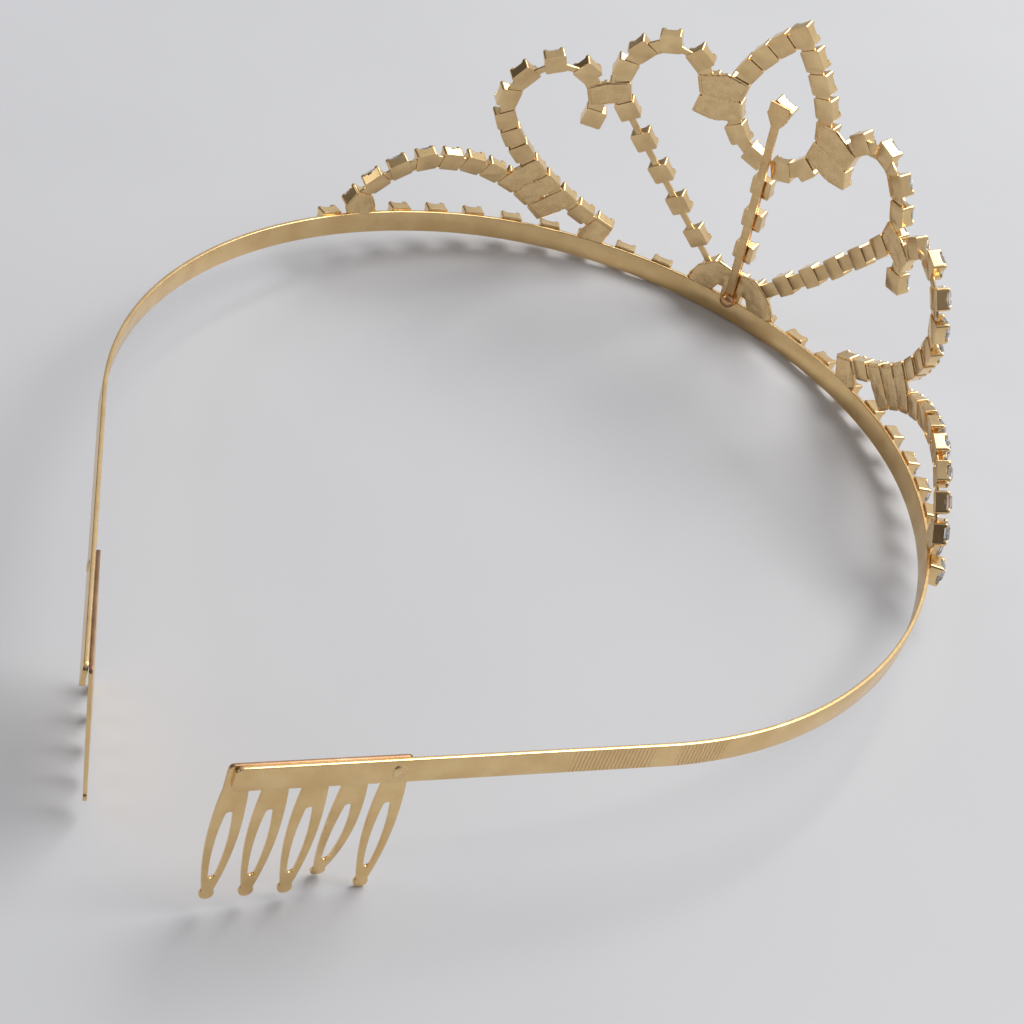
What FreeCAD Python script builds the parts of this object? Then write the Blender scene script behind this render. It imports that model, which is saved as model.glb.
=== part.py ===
"""Rhinestone tiara: a sprung headband strip, two slip-in combs and a front ornament of soldered cup chain.

The crown is laid out in the plane of its headband: the origin is the front centre of the strip at half
its height, +X is the wearer's left, +Y the back, +Z up. The front ornament is drawn flat, as distance
"around" the strip and "rise" above its middle, and then wrapped on a surface that follows the strip and
leans back. At the end everything is set down as the crown stands on a table, on the front of the strip
and the foremost teeth of its combs, with the origin under the middle of it.
"""

import FreeCAD, Part
import math
import os

import Sketcher
from FreeCAD import Matrix, Placement, Rotation, Vector

# Driving dimensions: name, value (millimetres, degrees or a count), what it is.
DIMENSIONS = (
    ("half_length", 190.0, "strip, from front centre to one end"),
    ("strip_width", 3.5, "strip, height of the flat face"),
    ("strip_sheet", 0.6, "strip, sheet thickness"),
    ("strip_corner", 0.9, "strip, rounding of the end corners"),
    ("front_radius", 54.0, "strip, bend over the forehead"),
    ("front_turn", 51.6, "half of the turn of the front bend"),
    ("side_radius", 67.5, "strip, bend above the ear"),
    ("side_turn", 48.6, "turn of the side bend"),
    ("rear_radius", 62.5, "strip, bend behind the ear"),
    ("rear_turn", 27.5, "turn of the rear bend, straight arm after it"),
    ("lean", 15.5, "ornament, lean back from upright"),
    ("comb_sheet", 0.5, "comb, sheet thickness"),
    ("comb_overhang", 0.6, "comb, how far it passes the end of the strip"),
    ("comb_lip", 0.3, "comb, how far the spine shows below the strip"),
    ("comb_corner", 0.7, "comb, rounding of the spine's top corners"),
    ("left_comb_cant", 7.4, "left comb, how far its teeth swing in from the plane of the arm"),
    ("tooth_count", 5.0, "comb, teeth"),
    ("tooth_pitch", 4.75, "comb, from tooth to tooth"),
    ("tooth_root", 3.0, "tooth, width at the spine"),
    ("tooth_belly", 3.7, "tooth, greatest width"),
    ("tooth_neck", 1.4, "tooth, width above the foot"),
    ("belly_drop", 6.3, "tooth, from the spine down to the greatest width"),
    ("neck_drop", 16.3, "tooth, from the spine down to the neck"),
    ("foot_radius", 0.9, "tooth, round foot"),
    ("slot_top_drop", 3.5, "slot, from the spine down to its upper end"),
    ("slot_length", 10.8, "slot, end to end"),
    ("slot_width", 1.6, "slot, greatest width"),
    ("slot_end", 0.9, "slot, width of its rounded ends"),
    ("weld_radius", 1.0, "comb weld, radius of the spot"),
    ("weld_rise", 0.2, "comb weld, height of the spot"),
    ("weld_inset", 1.6, "comb weld, from the comb's inner end"),
    ("cup_side", 3.25, "cup, side of the square back"),
    ("cup_depth", 2.4, "cup, back to prong tips"),
    ("cup_sheet", 0.25, "cup, sheet thickness"),
    ("prong_width", 0.55, "cup, width of a prong on each side of a corner"),
    ("prong_reach", 0.62, "cup, how far a folded tip covers the stone"),
    ("window_sill", 1.2, "cup, back to the bottom of a side window"),
    ("stone_side", 2.62, "stone, side of the girdle"),
    ("stone_table", 1.55, "stone, side of the flat top"),
    ("stone_culet", 0.5, "stone, side of the flat bottom"),
    ("stone_seat", 0.4, "stone, from the cup's back to the stone's bottom"),
    ("pavilion_height", 1.15, "stone, below the girdle"),
    ("girdle_height", 0.2, "stone, the girdle itself"),
    ("crown_height", 0.6, "stone, above the girdle"),
    ("tight_gap", 0.25, "chain, gap between the inner corners of cups pushed together"),
    ("tight_link_width", 2.3, "link between cups pushed together"),
    ("loose_link_width", 1.0, "link between cups drawn apart"),
    ("broad_link_width", 2.2, "link between cups drawn apart on the right inner scroll"),
    ("link_sheet", 0.35, "link, thickness"),
    ("link_lift", 0.12, "link, height of its underside above the cups' backs"),
    ("solder_width", 2.7, "solder between two chains"),
    ("solder_height", 0.55, "solder, height on the cups' backs"),
    ("solder_reach", 5.1, "greatest distance between cups that solder bridges"),
    ("base_pitch", 6.2, "bottom row, from cup to cup"),
    ("base_cups_per_side", 11.0, "bottom row, cups on each side of the centre one"),
    ("base_rise", 0.5, "bottom row, rise above the middle of the strip"),
    ("centre_cups", 4.0, "centre column, cups"),
    ("centre_pitch", 6.4, "centre column, from cup to cup"),
    ("centre_rise", 4.8, "centre column, rise of the lowest cup"),
    ("ring_cups_per_side", 7.0, "pointed ring, cups on each side of the tip"),
    ("ring_radius", 9.3, "pointed ring, round bottom"),
    ("ring_turn", 115.0, "pointed ring, turn of the round bottom to one side"),
    ("ring_rise", 37.4, "pointed ring, rise of the round bottom's centre"),
    ("ring_tip_rise", 51.5, "pointed ring, rise of the tip cup"),
    ("ring_tip_tilt", 42.0, "pointed ring, slope of the tip cup"),
    ("inner_cups", 13.0, "inner scroll, cups"),
    ("inner_tight_gaps", 7.0, "inner scroll, gaps pushed together in the curl"),
    ("inner_around", 4.1, "inner scroll, foot, distance around"),
    ("inner_rise", 5.0, "inner scroll, foot, rise"),
    ("inner_slope", 46.2, "inner scroll, slope of the straight"),
    ("inner_straight", 33.0, "inner scroll, length of the straight"),
    ("inner_curl_radius", 7.8, "inner scroll, radius of the curl"),
    ("inner_curl_turn", 230.0, "inner scroll, turn of the curl"),
    ("middle_cups", 14.0, "middle scroll, cups"),
    ("middle_around", 23.5, "middle scroll, foot, distance around"),
    ("middle_rise", 4.3, "middle scroll, foot, rise"),
    ("middle_slope", 21.8, "middle scroll, slope at the foot"),
    ("middle_sweep_radius", 48.5, "middle scroll, radius of the long sweep"),
    ("middle_sweep_turn", 33.2, "middle scroll, turn of the long sweep"),
    ("middle_curl_radius", 7.8, "middle scroll, radius of the curl"),
    ("middle_curl_turn", 223.0, "middle scroll, turn of the curl"),
    ("outer_cups", 10.0, "outer arch, cups"),
    ("outer_around", 33.5, "outer arch, inner foot, distance around"),
    ("outer_rise", 5.0, "outer arch, inner foot, rise"),
    ("outer_slope", 41.5, "outer arch, slope at the inner foot"),
    ("outer_inner_radius", 29.0, "outer arch, radius over the inner half"),
    ("outer_outer_radius", 12.4, "outer arch, radius over the outer half"),
    ("outer_outer_turn", 70.0, "outer arch, turn of the outer half"),
    ("post_width", 1.3, "centre post, width of the stem"),
    ("post_sheet", 0.6, "centre post, sheet thickness"),
    ("post_length", 35.5, "centre post, length of the stem"),
    ("post_taper", 1.8, "centre post, length of the widening"),
    ("post_pad", 2.4, "centre post, length of the pad behind the cup"),
    ("post_cup_drop", 1.75, "centre post, from the pad's top edge down to the middle of the cup"),
    ("post_cup_turn", 20.0, "centre post, how far the cup is turned on the pad"),
    ("post_lean", 15.5, "centre post, lean back from upright"),
    ("post_solder_radius", 1.3, "solder blob at the foot of the centre post"),
)

UP = Vector(0, 0, 1)
SAMPLE_STEP = 0.1  # spacing of the points that chain paths are measured on
SAME = 0.01  # lengths that differ by less count as the same
NIL = 1e-9  # coordinates smaller than this lie on the axis
LOOSE_PITCH = 1.45  # cups further apart than this many sides count as drawn apart
CRUMB = 0.02  # volume below which what trimming leaves is dropped


# ---------------------------------------------------------------- the document and its sheet

def make_sheet(doc):
    """Write the driving dimensions, one alias to each row."""
    sheet = doc.addObject("Spreadsheet::Sheet", "Dimensions")
    for row, (name, value, note) in enumerate(DIMENSIONS, start=1):
        sheet.set("A%d" % row, note)
        sheet.set("B%d" % row, str(value))
        sheet.setAlias("B%d" % row, name)
    doc.recompute()
    return sheet


DOC = FreeCAD.newDocument("Tiara")
SHEET = make_sheet(DOC)


def size(name):
    """A driving dimension, read from the sheet."""
    return float(SHEET.get(name))


def count(name):
    """A driving dimension that is a whole number."""
    return int(round(size(name)))


def bind(obj, **expressions):
    """Bind properties of a document object to expressions of the sheet's aliases."""
    for prop, expression in expressions.items():
        obj.setExpression(prop.replace("__", "."), expression)


def cell(name):
    """How an expression refers to a driving dimension."""
    return "Dimensions." + name


# ---------------------------------------------------------------- where the strip and the ornament run

def strip_bends():
    """The strip's three bends from the front centre back, as (radius, turn in radians)."""
    names = ("front", "side", "rear")
    return [(size(name + "_radius"), math.radians(size(name + "_turn"))) for name in names]


def strip_frame(around):
    """Middle of the strip at a signed distance around it: point, direction away from the centre, inward."""
    side = -1 if around < 0 else 1
    left = abs(around)
    heading = 0.0
    point = Vector(0, 0, 0)
    for radius, turn in strip_bends():
        part = min(left / radius, turn)
        bend = heading + part
        point += Vector(radius * (math.sin(bend) - math.sin(heading)),
                        radius * (math.cos(heading) - math.cos(bend)), 0)
        heading = bend
        left -= radius * part
    point += Vector(math.cos(heading), math.sin(heading), 0) * left
    along = Vector(side * math.cos(heading), math.sin(heading), 0)
    inward = Vector(-side * math.sin(heading), math.cos(heading), 0)
    return Vector(side * point.x, point.y, 0), along, inward


def ornament_point(around, rise):
    """Point of the ornament's back surface: on the strip's outer face, leaning back above its top edge."""
    middle, _, inward = strip_frame(around)
    above = max(0.0, rise - size("strip_width") / 2)
    depth = above * math.tan(math.radians(size("lean"))) - size("strip_sheet") / 2
    return middle + inward * depth + UP * rise


def ornament_outward(around, rise):
    """Outward normal of the ornament's back surface."""
    _, _, inward = strip_frame(around)
    if rise < size("strip_width") / 2:
        return inward * -1
    lean = math.radians(size("lean"))
    return inward * -math.cos(lean) + UP * math.sin(lean)


def straight(length):
    """A straight stretch of a drawn path, as (length, turn)."""
    return length, 0.0


def bend(radius, turn):
    """A round stretch of a drawn path, as (length, turn); a negative turn bends to the right."""
    return radius * math.radians(abs(turn)), turn


def draw_path(around, rise, slope, stretches):
    """Closely spaced (around, rise) points along tangent straights and bends."""
    points = [(around, rise)]
    heading = math.radians(slope)
    for length, turn in stretches:
        steps = max(1, int(math.ceil(length / SAMPLE_STEP)))
        for _ in range(steps):
            heading += math.radians(turn) / steps / 2
            around += length / steps * math.cos(heading)
            rise += length / steps * math.sin(heading)
            heading += math.radians(turn) / steps / 2
            points.append((around, rise))
    return points


def cup_frame(place, forward):
    """Placement of a cup: back centre at the place, local X towards forward, local Z outward."""
    origin = ornament_point(*place)
    outward = ornament_outward(*place)
    along = forward - outward * forward.dot(outward)
    along.normalize()
    across = outward.cross(along)
    matrix = Matrix(along.x, across.x, outward.x, origin.x,
                    along.y, across.y, outward.y, origin.y,
                    along.z, across.z, outward.z, origin.z,
                    0, 0, 0, 1)
    return Placement(matrix)


def measure_path(path):
    """Distance along the wrapped path, taken on the inner edge of a chain of cups that follows it.

    Cups that are pushed together on a curl touch at their inner corners, so that is the edge on which
    they are evenly spaced.
    """
    points = [ornament_point(*place) for place in path]
    distances = [0.0]
    previous = None
    for start, end in zip(points, points[1:]):
        step = end - start
        turned = 0.0
        if previous is not None:
            turned = previous.getAngle(step)
        distances.append(distances[-1] + step.Length - turned * size("cup_side") / 2)
        previous = step
    return distances


def frames_along(path, distances, stations):
    """Cup placements at the given distances along a drawn path."""
    frames = []
    for station in stations:
        index = min(range(len(path)), key=lambda i: abs(distances[i] - station))
        before = path[max(0, index - 1)]
        after = path[min(len(path) - 1, index + 1)]
        forward = ornament_point(*after) - ornament_point(*before)
        frames.append(cup_frame(path[index], forward))
    return frames


def chain_frames(path, cups, tight_gaps=0):
    """Spread cups over a path; the last tight_gaps of them are pushed together, the rest share what is left."""
    distances = measure_path(path)
    tight = (size("cup_side") + size("tight_gap")) * tight_gaps
    loose_gaps = cups - 1 - tight_gaps
    stations = [(distances[-1] - tight) * i / max(1, loose_gaps) for i in range(loose_gaps + 1)]
    stations += [stations[-1] + tight * i / tight_gaps for i in range(1, tight_gaps + 1)]
    return frames_along(path, distances, stations)


def mirrored(path):
    """The same drawn path on the other side of the crown."""
    return [(-around, rise) for around, rise in path]


# ---------------------------------------------------------------- the chains of the ornament

def base_frames():
    """Bottom row: evenly spaced cups along the strip's outer face."""
    reach = count("base_cups_per_side")
    frames = []
    for index in range(-reach, reach + 1):
        place = (index * size("base_pitch"), size("base_rise"))
        frames.append(cup_frame(place, strip_frame(place[0])[1] * (-1 if place[0] < 0 else 1)))
    return frames


def centre_frames():
    """Centre column: cups drawn apart, one above the other."""
    top = size("centre_rise") + size("centre_pitch") * (count("centre_cups") - 1)
    path = draw_path(0, size("centre_rise"), 90, [straight(top - size("centre_rise"))])
    return chain_frames(path, count("centre_cups"))


def ring_side():
    """One side of the pointed ring: a round bottom from its centre, then a flatter bend that ends at the tip."""
    radius = size("ring_radius")
    turn = math.radians(size("ring_turn"))
    across = radius * math.sin(turn)
    climb = size("ring_tip_rise") - size("ring_rise") + radius * math.cos(turn)
    half_turn = math.pi - math.atan2(climb, across) - turn
    upper_radius = math.hypot(across, climb) / (2 * math.sin(half_turn))
    stretches = [bend(radius, size("ring_turn")), bend(upper_radius, math.degrees(2 * half_turn))]
    return draw_path(0, size("ring_rise") - radius, 0, stretches)


def ring_frames():
    """Pointed ring: half a gap on each side of the bottom centre, and one cup turned on its corner at the tip."""
    path = ring_side()
    cups = count("ring_cups_per_side")
    sides = []
    for side in (path, mirrored(path)):
        distances = measure_path(side)
        pitch = distances[-1] / (cups + 0.5)
        stations = [pitch * (0.5 + i) for i in range(cups)]
        sides.append(frames_along(side, distances, stations))
    left, right = sides
    tilt = math.radians(size("ring_tip_tilt"))
    tip = cup_frame((0, size("ring_tip_rise")), Vector(-math.cos(tilt), 0, math.sin(tilt)))
    return right + [tip] + left[::-1]


def inner_path():
    """Inner scroll: a long straight up from the centre, then a curl back towards it."""
    stretches = [straight(size("inner_straight")), bend(size("inner_curl_radius"), size("inner_curl_turn"))]
    return draw_path(size("inner_around"), size("inner_rise"), size("inner_slope"), stretches)


def middle_path():
    """Middle scroll: a long hollow sweep, then a curl back towards the centre."""
    stretches = [bend(size("middle_sweep_radius"), size("middle_sweep_turn")),
                 bend(size("middle_curl_radius"), size("middle_curl_turn"))]
    return draw_path(size("middle_around"), size("middle_rise"), size("middle_slope"), stretches)


def outer_path():
    """Outer arch: low and lopsided, steeper on its outer side."""
    stretches = [bend(size("outer_inner_radius"), -size("outer_slope")),
                 bend(size("outer_outer_radius"), -size("outer_outer_turn"))]
    return draw_path(size("outer_around"), size("outer_rise"), size("outer_slope"), stretches)


def ornament_chains():
    """Every chain by name, as the placements of its cups in order."""
    chains = {"base_row": base_frames(), "centre_column": centre_frames(), "pointed_ring": ring_frames()}
    scrolls = (("inner_scroll", inner_path(), count("inner_cups"), count("inner_tight_gaps")),
               ("middle_scroll", middle_path(), count("middle_cups"), 0),
               ("outer_arch", outer_path(), count("outer_cups"), 0))
    for name, path, cups, tight_gaps in scrolls:
        chains["left_" + name] = chain_frames(path, cups, tight_gaps)
        chains["right_" + name] = chain_frames(mirrored(path), cups, tight_gaps)
    return chains


# ---------------------------------------------------------------- sketch helpers

def origin_plane(body, role):
    """One of a body's own origin planes or axes."""
    return next(item for item in body.Origin.OriginFeatures if item.Role == role)


def new_sketch(body, name, role):
    """An empty sketch on one of the body's own origin planes."""
    sketch = body.newObject("Sketcher::SketchObject", name)
    sketch.AttachmentSupport = [(origin_plane(body, role), "")]
    sketch.MapMode = "FlatFace"
    return sketch


def constrain(sketch, kind, *where, value=None, name="", expression=""):
    """Add a constraint; a named one follows an expression of the sheet."""
    arguments = list(where) if value is None else list(where) + [value]
    index = sketch.addConstraint(Sketcher.Constraint(kind, *arguments))
    if name:
        sketch.renameConstraint(index, name)
        sketch.setExpression("Constraints." + name, expression)
    return index


def draw_outline(sketch, corners):
    """A closed outline of lines through corners given as sheet expressions of x and y, each one driven."""
    points = [tuple(evaluate(expression) for expression in corner) for corner in corners]
    total = len(points)
    for index, (x, y) in enumerate(points):
        next_x, next_y = points[(index + 1) % total]
        sketch.addGeometry(Part.LineSegment(Vector(x, y, 0), Vector(next_x, next_y, 0)), False)
    for index in range(total):
        constrain(sketch, "Coincident", index, 2, (index + 1) % total, 1)
    for index, (x_rule, y_rule) in enumerate(corners):
        x, y = points[index]
        drive_point(sketch, index, 1, x, x_rule, y, y_rule, "corner_%d" % index)


def drive_point(sketch, geometry, vertex, x, x_rule, y, y_rule, name):
    """Fix one vertex at coordinates that follow the sheet; a coordinate of zero lies on the axis."""
    if abs(x) < NIL:
        constrain(sketch, "PointOnObject", geometry, vertex, -2)
    else:
        constrain(sketch, "DistanceX", -1, 1, geometry, vertex, value=x, name=name + "_x", expression=x_rule)
    if abs(y) < NIL:
        constrain(sketch, "PointOnObject", geometry, vertex, -1)
    else:
        constrain(sketch, "DistanceY", -1, 1, geometry, vertex, value=y, name=name + "_y", expression=y_rule)


def evaluate(expression):
    """Value of a sheet expression now, for a first drawing of what the sheet then drives."""
    return float(SHEET.evalExpression(expression))


def add_pad(body, name, sketch, length):
    """Pad a sketch evenly to both sides, its length following the sheet."""
    pad = body.newObject("PartDesign::Pad", name)
    pad.Profile = sketch
    pad.Midplane = True
    pad.setExpression("Length", length)
    DOC.recompute()
    return pad


def round_edges(body, base, name, wanted, radius):
    """Fillet the edges of a feature that a test picks out."""
    edges = ["Edge%d" % (i + 1) for i, edge in enumerate(base.Shape.Edges) if wanted(edge)]
    fillet = body.newObject("PartDesign::Fillet", name)
    fillet.Base = (base, edges)
    fillet.setExpression("Radius", radius)
    DOC.recompute()
    return fillet


# ---------------------------------------------------------------- headband strip

def draw_half_path(sketch):
    """Front, side and rear bends and the straight arm, tangent to one another, from the front centre."""
    heading = 0.0
    point = Vector(0, 0, 0)
    for index, (radius, turn) in enumerate(strip_bends()):
        centre = point + Vector(-math.sin(heading), math.cos(heading), 0) * radius
        circle = Part.Circle(centre, UP, radius)
        start = heading - math.pi / 2
        sketch.addGeometry(Part.ArcOfCircle(circle, start, start + turn), False)
        heading += turn
        point = centre + Vector(math.sin(heading), -math.cos(heading), 0) * radius
        name = ("front", "side", "rear")[index]
        constrain(sketch, "Radius", index, value=radius, name=name + "_radius",
                  expression=cell(name + "_radius"))
        constrain(sketch, "Angle", index, value=turn, name=name + "_turn",
                  expression=cell(name + "_turn") + " * 1 deg")
    end = strip_frame(size("half_length"))[0]
    sketch.addGeometry(Part.LineSegment(point, end), False)
    constrain(sketch, "Coincident", 0, 1, -1, 1)
    constrain(sketch, "PointOnObject", 0, 3, -2)
    for index in range(3):
        constrain(sketch, "Tangent", index, 2, index + 1, 1)
    bends = " - ".join("Dimensions.%s_radius * Dimensions.%s_turn * pi / 180" % (name, name)
                       for name in ("front", "side", "rear"))
    constrain(sketch, "Distance", 3, value=point.distanceToPoint(end), name="arm",
              expression=cell("half_length") + " - " + bends)


def build_headband():
    """Flat strip swept along one half of its curve, mirrored, with the end corners rounded."""
    body = DOC.addObject("PartDesign::Body", "headband_strip")
    path = new_sketch(body, "strip_path", "XY_Plane")
    draw_half_path(path)
    section = new_sketch(body, "strip_section", "YZ_Plane")
    half_sheet = cell("strip_sheet") + " / 2"
    half_width = cell("strip_width") + " / 2"
    draw_outline(section, [("-" + half_sheet, "-" + half_width), (half_sheet, "-" + half_width),
                           (half_sheet, half_width), ("-" + half_sheet, half_width)])
    DOC.recompute()
    sweep = body.newObject("PartDesign::AdditivePipe", "half_strip")
    sweep.Profile = section
    sweep.Spine = (path, ["Edge1", "Edge2", "Edge3", "Edge4"])
    DOC.recompute()
    both = body.newObject("PartDesign::Mirrored", "both_arms")
    both.Originals = [sweep]
    both.MirrorPlane = (origin_plane(body, "YZ_Plane"), [""])
    body.Tip = both
    DOC.recompute()
    end = strip_frame(size("half_length"))[0]

    def is_end_corner(edge):
        middle = edge.CenterOfMass
        near_end = math.hypot(abs(middle.x) - end.x, middle.y - end.y) < size("strip_sheet")
        at_edge = abs(abs(middle.z) - size("strip_width") / 2) < SAME
        return near_end and at_edge and abs(edge.Length - size("strip_sheet")) < SAME

    round_edges(body, both, "end_corners", is_end_corner, cell("strip_corner"))
    return body


# ---------------------------------------------------------------- combs

def comb_length():
    """Length of the comb's spine: its teeth stand flush with both ends."""
    return size("tooth_pitch") * (count("tooth_count") - 1) + size("tooth_root")


def spine_bottom():
    """Height of the spine's lower edge, in the strip's frame."""
    return -size("strip_width") / 2 - size("comb_lip")


def foot_height():
    """Height of the middle of a tooth's round foot, in the strip's frame."""
    half_neck = size("tooth_neck") / 2
    return spine_bottom() - size("neck_drop") - math.sqrt(size("foot_radius") ** 2 - half_neck ** 2)


def tooth_outline(sketch):
    """A leaf-shaped tooth: two long arcs on each side that meet at the belly, a neck and a round foot."""
    root = size("tooth_root") / 2
    belly = size("tooth_belly") / 2
    neck = size("tooth_neck") / 2
    top = spine_bottom()
    belly_z = top - size("belly_drop")
    neck_z = top - size("neck_drop")
    lap = top + size("comb_lip") / 2

    def bulge(drop, step):
        return (drop ** 2 + step ** 2) / (2 * step)

    upper = bulge(size("belly_drop"), belly - root)
    lower = bulge(size("neck_drop") - size("belly_drop"), belly - neck)

    def leaf_point(radius, side, z):
        return Vector(side * (belly - radius + math.sqrt(radius ** 2 - (z - belly_z) ** 2)), z, 0)

    edges = [Part.LineSegment(Vector(root, lap, 0), Vector(-root, lap, 0))]
    for side in (-1, 1):
        edges.append(Part.LineSegment(Vector(side * root, lap, 0), Vector(side * root, top, 0)))
        edges.append(Part.Arc(Vector(side * root, top, 0), leaf_point(upper, side, (top + belly_z) / 2),
                              Vector(side * belly, belly_z, 0)))
        edges.append(Part.Arc(Vector(side * belly, belly_z, 0), leaf_point(lower, side, (neck_z + belly_z) / 2),
                              Vector(side * neck, neck_z, 0)))
    toe = Vector(0, foot_height() - size("foot_radius"), 0)
    edges.append(Part.Arc(Vector(-neck, neck_z, 0), toe, Vector(neck, neck_z, 0)))
    sketch.addGeometry(edges, False)
    for index in range(len(edges)):
        constrain(sketch, "Block", index)


def slot_outline(sketch):
    """The long slot in a tooth: round ends joined by two bowed sides."""
    top = spine_bottom() - size("slot_top_drop")
    bottom = top - size("slot_length")
    end = size("slot_end") / 2
    middle_z = (top + bottom) / 2
    for z, lift in ((top, end), (bottom, -end)):
        sketch.addGeometry(Part.Arc(Vector(-end, z - lift, 0), Vector(0, z, 0), Vector(end, z - lift, 0)), False)
    for side in (-1, 1):
        sketch.addGeometry(Part.Arc(Vector(side * end, top - end, 0),
                                    Vector(side * size("slot_width") / 2, middle_z, 0),
                                    Vector(side * end, bottom + end, 0)), False)
    for index in range(4):
        constrain(sketch, "Block", index)


def comb_placement(side):
    """Where a comb's own frame sits: at its first tooth, on the inner face of the arm.

    The left comb is set a little askew: it is swung about the strip's top edge, teeth inward.
    """
    along_arm = size("half_length") + size("comb_overhang") - comb_length() + size("tooth_root") / 2
    middle, along, inward = strip_frame(side * along_arm)
    origin = middle + inward * ((size("strip_sheet") + size("comb_sheet")) / 2)
    square = Placement(origin, Rotation(along, UP.cross(along), UP, "ZXY"))
    if side < 0:
        return square
    top_edge = middle + inward * (size("strip_sheet") / 2) + UP * (size("strip_width") / 2)
    return Placement(Vector(), Rotation(along, size("left_comb_cant")), top_edge).multiply(square)


def build_comb(name, side):
    """Stamped comb: a spine, one slotted tooth repeated along it, rounded top corners."""
    body = DOC.addObject("PartDesign::Body", name)
    spine = new_sketch(body, name + "_spine_outline", "XZ_Plane")
    start = "-" + cell("tooth_root") + " / 2"
    end = cell("tooth_pitch") + " * (" + cell("tooth_count") + " - 1) + " + cell("tooth_root") + " / 2"
    top = cell("strip_width") + " / 2"
    bottom = "-" + cell("strip_width") + " / 2 - " + cell("comb_lip")
    draw_outline(spine, [(start, bottom), (end, bottom), (end, top), (start, top)])
    DOC.recompute()
    spine_pad = add_pad(body, name + "_spine", spine, cell("comb_sheet"))
    tooth = new_sketch(body, name + "_tooth_outline", "XZ_Plane")
    tooth_outline(tooth)
    tooth_pad = add_pad(body, name + "_tooth", tooth, cell("comb_sheet"))
    slot = new_sketch(body, name + "_slot_outline", "XZ_Plane")
    slot_outline(slot)
    pocket = body.newObject("PartDesign::Pocket", name + "_slot")
    pocket.Profile = slot
    pocket.Midplane = True
    pocket.setExpression("Length", cell("comb_sheet") + " * 3")
    DOC.recompute()
    if pocket.Shape.Volume >= tooth_pad.Shape.Volume:
        raise ValueError("the slot cuts nothing in " + name)
    teeth = body.newObject("PartDesign::LinearPattern", name + "_teeth")
    teeth.Originals = [tooth_pad, pocket]
    teeth.Direction = (origin_plane(body, "X_Axis"), [""])
    bind(teeth, Length=cell("tooth_pitch") + " * (" + cell("tooth_count") + " - 1)",
         Occurrences=cell("tooth_count"))
    body.Tip = teeth
    DOC.recompute()

    def is_top_corner(edge):
        middle = edge.CenterOfMass
        upright = abs(edge.Length - size("comb_sheet")) < SAME
        return upright and abs(middle.z - size("strip_width") / 2) < SAME

    round_edges(body, teeth, name + "_corners", is_top_corner, cell("comb_corner"))
    body.Placement = comb_placement(side)
    return body


def build_weld(name, side):
    """Spot weld that holds a comb to the strip, a low dome on the strip's outer face."""
    dome = DOC.addObject("Part::Sphere", name)
    radius = "(%s ^ 2 + %s ^ 2) / (2 * %s)" % (cell("weld_radius"), cell("weld_rise"), cell("weld_rise"))
    bind(dome, Radius=radius, Angle1="asin(1 - %s / (%s))" % (cell("weld_rise"), radius))
    DOC.recompute()
    rise, spot = size("weld_rise"), size("weld_radius")
    ball = (spot ** 2 + rise ** 2) / (2 * rise)
    along_arm = size("half_length") + size("comb_overhang") - comb_length() + size("weld_inset")
    middle, _, inward = strip_frame(side * along_arm)
    centre = middle - inward * (size("strip_sheet") / 2 - (ball - rise))
    dome.Placement = Placement(centre, Rotation(UP, inward * -1))
    return dome


# ---------------------------------------------------------------- cups and stones

def add_box(name, length, width, height, x, y, z):
    """A Part box whose sides and corner follow the sheet."""
    box = DOC.addObject("Part::Box", name)
    bind(box, Length=length, Width=width, Height=height,
         Placement__Base__x=x, Placement__Base__y=y, Placement__Base__z=z)
    return box


def make_cup():
    """One stamped cup on its back: four walls with arched windows, and a folded prong tip at each corner."""
    side, sheet, depth = cell("cup_side"), cell("cup_sheet"), cell("cup_depth")
    half = side + " / 2"
    opening = "(%s - 2 * %s)" % (side, cell("prong_width"))
    arch = opening + " / 2"
    block = add_box("cup_block", side, side, depth, "-" + half, "-" + half, "0")
    hollow_side = "(%s - 2 * %s)" % (side, sheet)
    hollow = add_box("cup_hollow", hollow_side, hollow_side, depth,
                     "-" + hollow_side + " / 2", "-" + hollow_side + " / 2", sheet)
    window_x = add_box("cup_window_x", side, opening, depth, "-" + half, "-" + arch,
                       cell("window_sill") + " + " + arch)
    window_y = add_box("cup_window_y", opening, side, depth, "-" + arch, "-" + half,
                       cell("window_sill") + " + " + arch)
    cutters = [hollow, window_x, window_y]
    for axis, turn in (("x", Rotation(Vector(0, 1, 0), 90)), ("y", Rotation(Vector(1, 0, 0), -90))):
        arch_cut = DOC.addObject("Part::Cylinder", "cup_arch_" + axis)
        arch_cut.Placement = Placement(Vector(0, 0, 0), turn)
        bind(arch_cut, Radius=arch, Height=side, Placement__Base__z=cell("window_sill") + " + " + arch)
        arch_cut.setExpression("Placement.Base." + axis, "-" + half)
        cutters.append(arch_cut)
    cutting = DOC.addObject("Part::MultiFuse", "cup_cutters")
    cutting.Shapes = cutters
    walls = DOC.addObject("Part::Cut", "cup_walls")
    walls.Base = block
    walls.Tool = cutting
    pieces = [walls]
    for index, (x_side, y_side) in enumerate(((-1, -1), (1, -1), (1, 1), (-1, 1))):
        reach = cell("prong_reach")
        x = "-" + half if x_side < 0 else half + " - " + reach
        y = "-" + half if y_side < 0 else half + " - " + reach
        pieces.append(add_box("prong_tip_%d" % index, reach, reach, sheet, x, y, depth + " - " + sheet))
    cup = DOC.addObject("Part::MultiFuse", "cup_pattern")
    cup.Shapes = pieces
    cup.Refine = True
    DOC.recompute()
    return cup.Shape


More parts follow.
